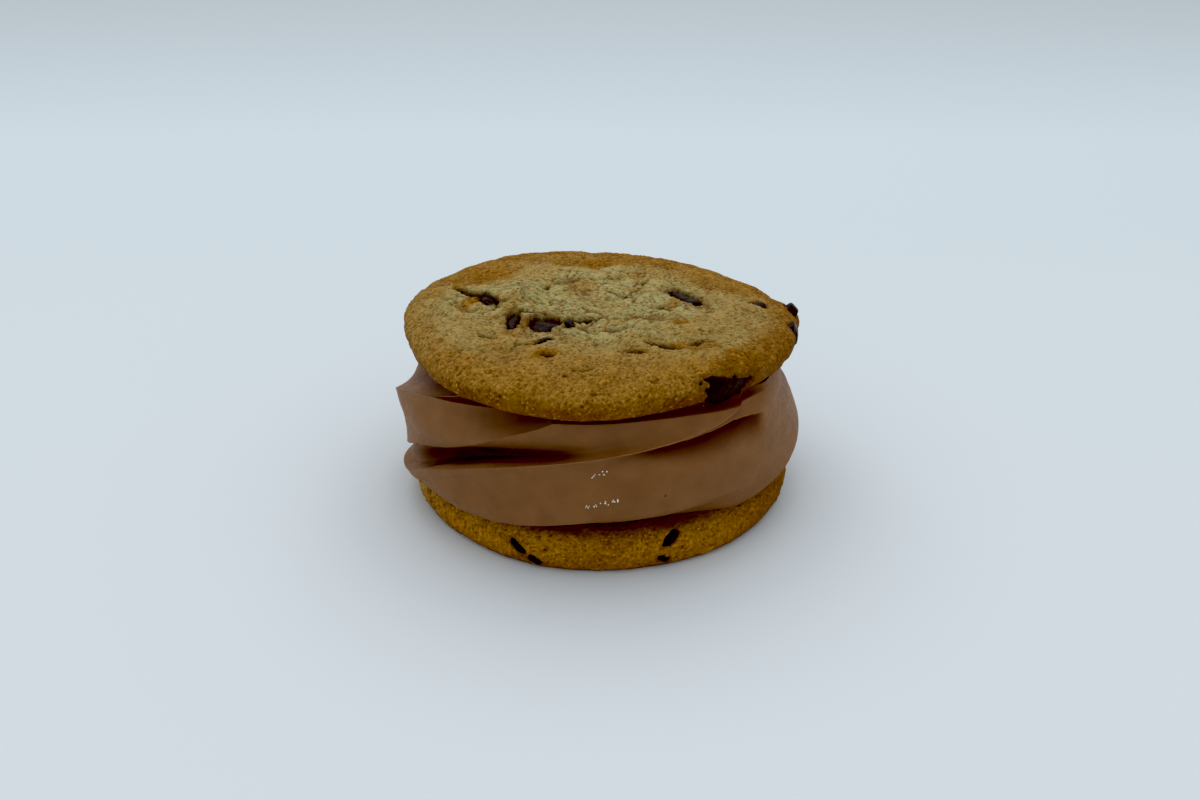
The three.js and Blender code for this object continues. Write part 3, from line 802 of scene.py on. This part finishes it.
def build_ice_cream():
    """The band's points and faces, and from every point the depth of its hollow, how much painted
    shade its cuts give it, and 1 on the side and 0 on the two ends."""
    faces = len(CRESTS)
    even = np.arange(FACE_COLUMNS) / FACE_COLUMNS
    across = np.tile(mix(even, (1 - np.cos(np.pi * even)) / 2, COLUMN_CROWDING), faces)
    face = np.repeat(np.arange(faces), FACE_COLUMNS)
    columns = len(across)
    ups = (1 - np.cos(np.pi * np.arange(FLANK_ROWS + 1) / FLANK_ROWS)) / 2
    turn = np.zeros((FLANK_ROWS + 1, columns))
    radius = np.zeros_like(turn)
    sink = np.zeros_like(turn)
    for row, up in enumerate(ups):
        for k in range(faces):
            own = face == k
            wall = flank(k, across[own], np.full(own.sum(), up))
            turn[row, own], radius[row, own], sink[row, own] = wall
    flat = around(turn.ravel(), radius.ravel(), 0).reshape(FLANK_ROWS + 1, columns, 3)
    foot = top_height(LOWER, flat[0, :, 0], flat[0, :, 1]) - FOOT_SINK
    head = roof(flat[:, :, 0], flat[:, :, 1])
    flat[:, :, 2] = mix(foot[None, :], head, ups[:, None])
    height = flat[:, :, 2].copy()
    # Each cut: how far beyond its edge every point is, its turns, its depths and how far it fades
    # there, how much it droops, and how dark and how wide the shade painted into it is.
    turns, lips, depths, fades = LAP
    cuts = [(np.interp(turn, turns, lips) - height, turns, depths, fades, 0, 0.9, 1.3)]
    turns, depths, fades = SLOT
    cuts.append((height - np.interp(turn, *crest_line(SLOT_CREST)), turns, depths, fades, 0.55, 1, 1))
    turns, drops, depths = NECK
    fades = [NECK_FADE] * len(turns)
    cuts.append((height - head + np.interp(turn, turns, drops), turns, depths, fades, 0, 1, 1))
    cut = np.zeros_like(radius)
    for beyond, turns, depths, fades, droop, tint, spill in cuts:
        deep = np.interp(turn, turns, depths, left=0, right=0)
        fade = np.interp(turn, turns, fades)
        fold = deep * smooth(-0.15, 0.45, beyond)
        fold *= np.exp(-((np.maximum(beyond - 0.5, 0) / fade) ** 1.5))
        flat[:, :, :2] *= (1 - fold / radius)[:, :, None]
        flat[:, :, 2] -= droop * fold
        # Painted shade in the lap, the slot and the neck under the upper cookie, darker where the cut is
        # deep.
        shade_and_stain = tint * np.minimum(1, deep / 1.2) * smooth(-0.3, 0.0, beyond)
        shade_and_stain *= np.exp(-((np.maximum(beyond, 0) / (spill * fade)) ** 2))
        cut = np.maximum(cut, shade_and_stain)
    floors = end_rings(flat[0], underside)[::-1]
    rings = [*floors, *flat, *end_rings(flat[-1], roof)]
    numbers = np.arange(columns * len(rings)).reshape(len(rings), columns)
    middle = np.array(0.0)
    middle_low, middle_top = [0, 0, underside(middle, middle)], [0, 0, roof(0, 0)]
    points = np.concatenate([*rings, [middle_low, middle_top]])
    last = len(points) - 1
    quads = np.concatenate([ring_quads(numbers[i], numbers[i + 1]) for i in range(len(rings) - 1)])
    ends = np.concatenate([fan(numbers[0][::-1], last - 1), fan(numbers[-1], last)])
    hollow, slot, side = np.zeros(len(points)), np.zeros(len(points)), np.zeros(len(points))
    flank_part = slice(columns * len(floors), columns * (len(floors) + FLANK_ROWS + 1))
    hollow[flank_part] = sink.ravel()
    slot[flank_part] = cut.ravel()
    side[flank_part] = 1
    return points, [quads, ends], hollow, slot, side


ice_points, ice_faces, ice_hollow, ice_cut_shade, ice_side = build_ice_cream()
ice_normals = vertex_normals(ice_points, ice_faces)
churn = (
    0.10 * noise(ice_points, 5.5, CHURN_SEED)
    + 0.05 * noise(ice_points, 1.7, CHURN_SEED + 1)
    + 0.02 * noise(ice_points, 0.7, CHURN_SEED + 2)
)
ice_points = ice_points + ice_normals * ((churn - CHURN_INSET) * ice_side)[:, None]
ice_cream = make_mesh("ice_cream_piped", ice_points, ice_faces, dict(hollow=ice_hollow, slot=ice_cut_shade))

# ---- Materials ----

# Scales of noise and cells are per metre.

def material(name):
    """A new material, its node tree and its shader."""
    made = bpy.data.materials.new(name)
    made.use_nodes = True
    tree = made.node_tree
    return made, tree, tree.nodes["Principled BSDF"]


def node(tree, kind, **values):
    """A new node, with values for its inputs or its own settings."""
    made = tree.nodes.new("ShaderNode" + kind)
    for key, value in values.items():
        if key in made.inputs:
            made.inputs[key].default_value = value
        else:
            setattr(made, key, value)
    return made


def link(tree, source, target):
    tree.links.new(source, target)


def position(tree):
    return node(tree, "TexCoord").outputs["Object"]


def noise_at(tree, place, scale, detail, rough=0.5):
    made = node(tree, "TexNoise", Scale=scale, Detail=detail, Roughness=rough)
    link(tree, place, made.inputs["Vector"])
    return made.outputs["Fac"]


def ramp(tree, value, stops):
    """A colour that goes through stops, each a value and a colour."""
    made = node(tree, "ValToRGB")
    while len(made.color_ramp.elements) < len(stops):
        made.color_ramp.elements.new(0.5)
    for element, (at, colour) in zip(made.color_ramp.elements, stops):
        element.position = at
        element.color = (*colour, 1)
    link(tree, value, made.inputs["Fac"])
    return made.outputs["Color"]


def grey(tree, value, low, high, out_low=0.0, out_high=1.0):
    """A number that goes smoothly from out_low to out_high as the value goes from low to high."""
    limits = {"From Min": low, "From Max": high, "To Min": out_low, "To Max": out_high}
    made = node(tree, "MapRange", **limits)
    made.interpolation_type = "SMOOTHSTEP"
    link(tree, value, made.inputs["Value"])
    return made.outputs["Result"]


def blend(tree, share, first, second, mode="MIX"):
    """A share of the second colour over the first."""
    made = tree.nodes.new("ShaderNodeMix")
    made.data_type = "RGBA"
    made.blend_type = mode
    factor, colour_a, colour_b = made.inputs[0], made.inputs[6], made.inputs[7]
    for target, source in ((factor, share), (colour_a, first), (colour_b, second)):
        if hasattr(source, "is_output"):
            link(tree, source, target)
        elif isinstance(source, tuple):
            target.default_value = (*source, 1)
        else:
            target.default_value = source
    return made.outputs[2]


def tinted(tree, colour, value, low, high, most, tint):
    """The colour with a tint over it, from none of it at low to its most at high."""
    return blend(tree, grey(tree, value, low, high, 0, most), colour, tint)


def maths(tree, kind, first, second):
    made = node(tree, "Math", operation=kind)
    for target, source in zip(made.inputs, (first, second)):
        if hasattr(source, "is_output"):
            link(tree, source, target)
        else:
            target.default_value = source
    return made.outputs["Value"]


def added(tree, first, *rest):
    return maths(tree, "ADD", first, added(tree, *rest)) if rest else first


def cells_at(tree, place, scale):
    """Distance to the middle of scattered cells, and two random numbers of each cell."""
    cells = node(tree, "TexVoronoi", Scale=scale)
    link(tree, place, cells.inputs["Vector"])
    own = node(tree, "SeparateColor")
    link(tree, cells.outputs["Color"], own.inputs["Color"])
    return cells.outputs["Distance"], own.outputs["Red"], own.outputs["Green"]


def attribute(tree, name):
    """One of the numbers that a mesh carries on its vertices."""
    return node(tree, "Attribute", attribute_name=name).outputs["Fac"]


def bump(tree, shader, height, distance, strength=1.0):
    made = node(tree, "Bump", Distance=distance, Strength=strength)
    link(tree, height, made.inputs["Height"])
    link(tree, made.outputs["Normal"], shader.inputs["Normal"])


def crust_material(name, pale, golden, low, brown, dark):
    """Pale where the dough is crumpled, golden elsewhere, browner on some grains; painted shade
    darkens its creases, cracks, pits and the low parts of its relief.
    """
    made, tree, shader = material(name)
    place = position(tree)
    broad = noise_at(tree, place, 90, 4)
    mottled = noise_at(tree, place, 420, 4, 0.65)
    fine = noise_at(tree, place, 2300, 3, 0.6)
    crumbs = noise_at(tree, place, 1050, 3, 0.6)
    speck_distance, speck_red, speck_green = cells_at(tree, place, 2200.0)
    dot_distance, dot_red, _ = cells_at(tree, place, 360.0)
    round_dot = grey(tree, dot_distance, 0.08, 0.2, 0.85, 0)
    dot = maths(tree, "MULTIPLY", round_dot, grey(tree, dot_red, 0.4, 0.6))

    def wave(value, amount):
        return maths(tree, "MULTIPLY", maths(tree, "SUBTRACT", value, 0.5), amount)

    toasted = tuple(c * f for c, f in zip(golden, (0.78, 0.68, 0.14)))
    bright = tuple(c * f + 0.02 for c, f in zip(golden, (2.0, 1.75, 1.8)))
    pallor = added(tree, attribute(tree, "pale"), wave(broad, 0.5), wave(mottled, 0.6))
    colour = blend(tree, grey(tree, pallor, 0.0, 1.0), golden, pale)
    # Browner low on the rim: partly real toasting, partly painted shade.
    colour = blend(tree, attribute(tree, "low"), colour, low)
    colour = tinted(tree, colour, attribute(tree, "toast"), 0.0, 1.0, 0.92, toasted)
    colour = tinted(tree, colour, added(tree, broad, wave(mottled, 0.5)), 0.52, 0.7, 0.6, toasted)
    # Painted shade and light from the height of the fine relief, mixed with the dough's random tone.
    relief_shade_and_tone = added(tree, attribute(tree, "lift"), wave(fine, 1.1), wave(crumbs, 0.7), wave(mottled, 0.5))
    shade = ramp(tree, relief_shade_and_tone, [(0.0, (0.56, 0.43, 0.24)), (0.5, (1, 1, 1)), (1.0, (1.4, 1.38, 1.45))])
    colour = blend(tree, 1.0, colour, shade, "MULTIPLY")
    colour = tinted(tree, colour, speck_red, 0.84, 0.98, 0.6, bright)
    colour = tinted(tree, colour, speck_green, 0.8, 0.96, 0.6, brown)
    colour = tinted(tree, colour, attribute(tree, "grain"), 0.75, 1.0, 0.4, bright)
    colour = tinted(tree, colour, mottled, 0.57, 0.73, 0.4, brown)
    colour = blend(tree, dot, colour, brown)
    # Painted shade in the creases of the crumpled dough.
    colour = tinted(tree, colour, attribute(tree, "crease"), 0.1, 1.0, 0.6, brown)
    colour = tinted(tree, colour, attribute(tree, "near"), 0.1, 0.9, 0.45, brown)
    # Painted shade beside the ice cream, at the foot and towards the shaded right; under the ice cream
    # partly a real stain as well.
    colour = blend(tree, attribute(tree, "shade_and_stain"), colour, brown)
    # Painted shade in cracks, pits and the pockets round chips.
    colour = tinted(tree, colour, attribute(tree, "deep"), 0.1, 0.8, 0.92, dark)
    link(tree, colour, shader.inputs["Base Color"])
    link(tree, grey(tree, mottled, 0.3, 0.7, 0.72, 0.95), shader.inputs["Roughness"])
    shader.inputs["Specular IOR Level"].default_value = 0.2
    specks = maths(tree, "MULTIPLY", speck_distance, -0.9)
    bump(tree, shader, added(tree, specks, maths(tree, "MULTIPLY", fine, 1.3)), 0.00028)
    return made


def chocolate_material():
    made, tree, shader = material("dark_chocolate")
    place = position(tree)
    bloom = noise_at(tree, place, 700, 3)
    colour = ramp(tree, bloom, [(0.35, (0.004, 0.001, 0.0012)), (0.75, (0.014, 0.004, 0.0045))])
    link(tree, colour, shader.inputs["Base Color"])
    link(tree, grey(tree, bloom, 0.35, 0.7, 0.22, 0.6), shader.inputs["Roughness"])
    shader.inputs["Specular IOR Level"].default_value = 0.1
    bump(tree, shader, noise_at(tree, place, 900, 3), 0.0006)
    return made


def ice_cream_material():
    made, tree, shader = material("chocolate_ice_cream")
    place = position(tree)
    churned = noise_at(tree, place, 210, 4)
    frost = noise_at(tree, place, 1500, 2)
    colour = ramp(tree, churned, [(0.3, (0.207, 0.097, 0.036)), (0.7, (0.254, 0.122, 0.047))])
    colour = tinted(tree, colour, frost, 0.62, 0.75, 0.25, (0.26, 0.13, 0.05))
    # Painted shade: darker where the hollows between crests are deep, darkest in the lap, slot and neck.
    colour = tinted(tree, colour, attribute(tree, "hollow"), 1.5, 6, 0.7, (0.1, 0.02, 0.008))
    colour = tinted(tree, colour, attribute(tree, "slot"), 0.05, 0.85, 0.93, (0.085, 0.02, 0.01))
    link(tree, colour, shader.inputs["Base Color"])
    shader.inputs["Subsurface Weight"].default_value = 0.35
    shader.inputs["Subsurface Radius"].default_value = (1.0, 0.4, 0.18)
    shader.inputs["Subsurface Scale"].default_value = 0.0018
    shader.inputs["Specular IOR Level"].default_value = 0.12
    link(tree, grey(tree, frost, 0.35, 0.7, 0.42, 0.6), shader.inputs["Roughness"])
    height = maths(tree, "ADD", maths(tree, "MULTIPLY", frost, 0.6), noise_at(tree, place, 480, 2))
    bump(tree, shader, height, 0.00012, 0.7)
    return made


upper_crust = crust_material(
    "upper_crust", pale=(0.335, 0.295, 0.115), golden=(0.29, 0.152, 0.02), low=(0.19, 0.06, 0.001),
    brown=(0.13, 0.045, 0.002), dark=(0.03, 0.008, 0.002),
)
lower_crust = crust_material(
    "lower_crust", pale=(0.38, 0.26, 0.08), golden=(0.35, 0.165, 0.012), low=(0.34, 0.145, 0.008),
    brown=(0.12, 0.034, 0.002), dark=(0.03, 0.008, 0.002),
)
chocolate = chocolate_material()
ice_cream_look = ice_cream_material()

upper_cookie.data.materials.append(upper_crust)
lower_cookie.data.materials.append(lower_crust)
ice_cream.data.materials.append(ice_cream_look)

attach(upper_cookie, "root")
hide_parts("upper_cookie")
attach(lower_cookie, "root")
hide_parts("lower_cookie")
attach(ice_cream, "root")
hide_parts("ice_cream")

for side, places, seed in (
    ("upper", upper_places, UPPER_CHIP_SEED), ("lower", lower_places, LOWER_CHIP_SEED)
):
    for i, place in enumerate(places, 1):
        chip, chip_points = chip_mesh(f"{side}_chip_{i}", place, seed + i)
        if side == "upper":
            chip.data.vertices.foreach_set("co", (seated(chip_points) * MM).ravel())
            chip.data.update()
        chip.data.materials.append(chocolate)
        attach(chip, "root")
        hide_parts(f"{side}_cookie_chip_{i}")

# ---- Frost beads, as painted glints, and crumbs ----

# Beads of frost on the ice cream, near white so that they also stand as painted glints of its ice
# crystals: turn and height of a streak's two ends, and how many.
FROST_AND_GLINTS = [((-4.3, 15.9), (5.4, 17.6), 17), ((-3.2, 21.9), (2, 23.1), 8)]
# Crumbs under the upper cookie's edge and on the ice cream: turn, height, size.
CRUMBS = [
    (14.5, 33.2, 1.1), (15.4, 32.6, 0.7), (-20, 32.6, 0.8),
    (17, 17.4, 0.4), (33, 31.4, 0.5), (-33, 31, 0.5),
]
# One degree on the ice cream's side, in mm.
DEGREE = 0.7


def beads(name, places, look, seed):
    """Small uneven lumps on the ice cream's side, as one piece: the turn, height and size of each."""
    rng = np.random.RandomState(seed)
    ball = ball_mesh("bead", BEAD_DETAIL, 0.5)
    rays = np.array([vertex.co[:] for vertex in ball.vertices])
    corners = np.array([polygon.vertices[:] for polygon in ball.polygons])
    bpy.data.meshes.remove(ball)
    turns = np.degrees(np.arctan2(ice_points[:, 0], -ice_points[:, 1]))
    points, faces = [], []
    for turn, z, size in places:
        off_side = 1e3 * (ice_side == 0)
        away = ((turns - turn) * DEGREE) ** 2 + (ice_points[:, 2] - z) ** 2 + off_side
        spot = ice_points[np.argmin(away)]
        shape = rays * size * rng.uniform(0.7, 1.2, 3)
        shape = shape * (1 + 0.35 * noise(rays * 4 + spot, 1.3, seed))[:, None]
        faces.append(corners + len(points) * len(rays))
        points.append(shape + spot)
    made = make_mesh(name, np.concatenate(points), [np.concatenate(faces)], {})
    made.data.materials.append(look)
    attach(made, "root")
    return made


# Near-white beads: real frost, and a painted highlight in place of the crystals' glints.
frost_and_glint_look, frost_and_glint_tree, frost_and_glint_shader = material("frost")
frost_and_glint_noise = noise_at(frost_and_glint_tree, position(frost_and_glint_tree), 900, 2)
frost_and_glint_colour = ramp(frost_and_glint_tree, frost_and_glint_noise, [(0.3, (1.0, 0.9, 0.75)), (0.7, (1.0, 0.98, 0.93))])
link(frost_and_glint_tree, frost_and_glint_colour, frost_and_glint_shader.inputs["Base Color"])
frost_and_glint_shader.inputs["Roughness"].default_value = 0.2
frost_and_glint_rng = np.random.RandomState(FROST_AND_GLINT_SEED)
frost_and_glint_places = []
for (turn_a, z_a), (turn_b, z_b), count in FROST_AND_GLINTS:
    for share in (np.arange(count) + frost_and_glint_rng.uniform(0, 1, count)) / count:
        frost_and_glint_places.append((
            mix(turn_a, turn_b, share) + frost_and_glint_rng.uniform(-0.4, 0.4),
            mix(z_a, z_b, share) + frost_and_glint_rng.uniform(-0.3, 0.3),
            frost_and_glint_rng.uniform(0.2, 0.36),
        ))
beads("frost_and_glint_beads", frost_and_glint_places, frost_and_glint_look, FROST_AND_GLINT_BEAD_SEED)
beads("cookie_crumbs", CRUMBS, upper_crust, CRUMB_SEED)

# ---- Floor, light and camera ----

WIDE = 3
floor_corners = [(-WIDE, -WIDE, 0), (WIDE, -WIDE, 0), (WIDE, WIDE, 0), (-WIDE, WIDE, 0)]
floor_mesh = bpy.data.meshes.new("floor")
floor_mesh.from_pydata(floor_corners, [], [(0, 1, 2, 3)])
floor = bpy.data.objects.new("floor", floor_mesh)
bpy.context.scene.collection.objects.link(floor)
floor_look, floor_tree, floor_shader = material("pale_floor")
spread = node(floor_tree, "SeparateXYZ")
link(floor_tree, position(floor_tree), spread.inputs["Vector"])
# Painted shade: the floor darkens from its front to its back, as the light falls off.
painted_falloff = ramp(floor_tree, grey(floor_tree, spread.outputs["Y"], -0.2, 0.8), [
    (0.0, (0.76, 0.81, 0.85)), (0.25, (0.68, 0.75, 0.79)), (0.4, (0.66, 0.74, 0.785)),
    (0.62, (0.55, 0.61, 0.65)), (1.0, (0.42, 0.46, 0.49)),
])
link(floor_tree, painted_falloff, floor_shader.inputs["Base Color"])
floor_shader.inputs["Roughness"].default_value = 0.9
floor_shader.inputs["Specular IOR Level"].default_value = 0.1
floor_mesh.materials.append(floor_look)

world = bpy.data.worlds.new("studio")
bpy.context.scene.world = world
world.use_nodes = True
background = world.node_tree.nodes["Background"]
background.inputs["Color"].default_value = (0.93, 0.97, 1, 1)
background.inputs["Strength"].default_value = 0.62

lamp = bpy.data.lights.new("overhead", "AREA")
lamp.shape = "SQUARE"
lamp.size = 1.2
lamp.energy = 4.35
overhead = bpy.data.objects.new("overhead", lamp)
overhead.location = (-0.05, 0.32, 0.85)
overhead.rotation_euler = (-overhead.location).to_track_quat("-Z", "Y").to_euler()
bpy.context.scene.collection.objects.link(overhead)

lens = bpy.data.cameras.new("camera")
lens.lens = 50
lens.sensor_width = 36
camera = bpy.data.objects.new("camera", lens)
# Fitted to the photo: the angle above the table, and the distance to the point that is aimed at.
ELEVATION = math.radians(26.6)
DISTANCE = 0.346
aim = Vector((0, 0, 0.0178))
back = Vector((0, -math.cos(ELEVATION), math.sin(ELEVATION)))
camera.location = aim + back * DISTANCE
camera.rotation_euler = (-back).to_track_quat("-Z", "Y").to_euler()
lens.clip_start = 0.01
bpy.context.scene.collection.objects.link(camera)
bpy.context.scene.camera = camera
view = bpy.context.scene.view_settings
view.view_transform = "Standard"
view.use_curve_mapping = True
view.curve_mapping.black_level = (0.006, 0.012, 0.014)
view.curve_mapping.update()
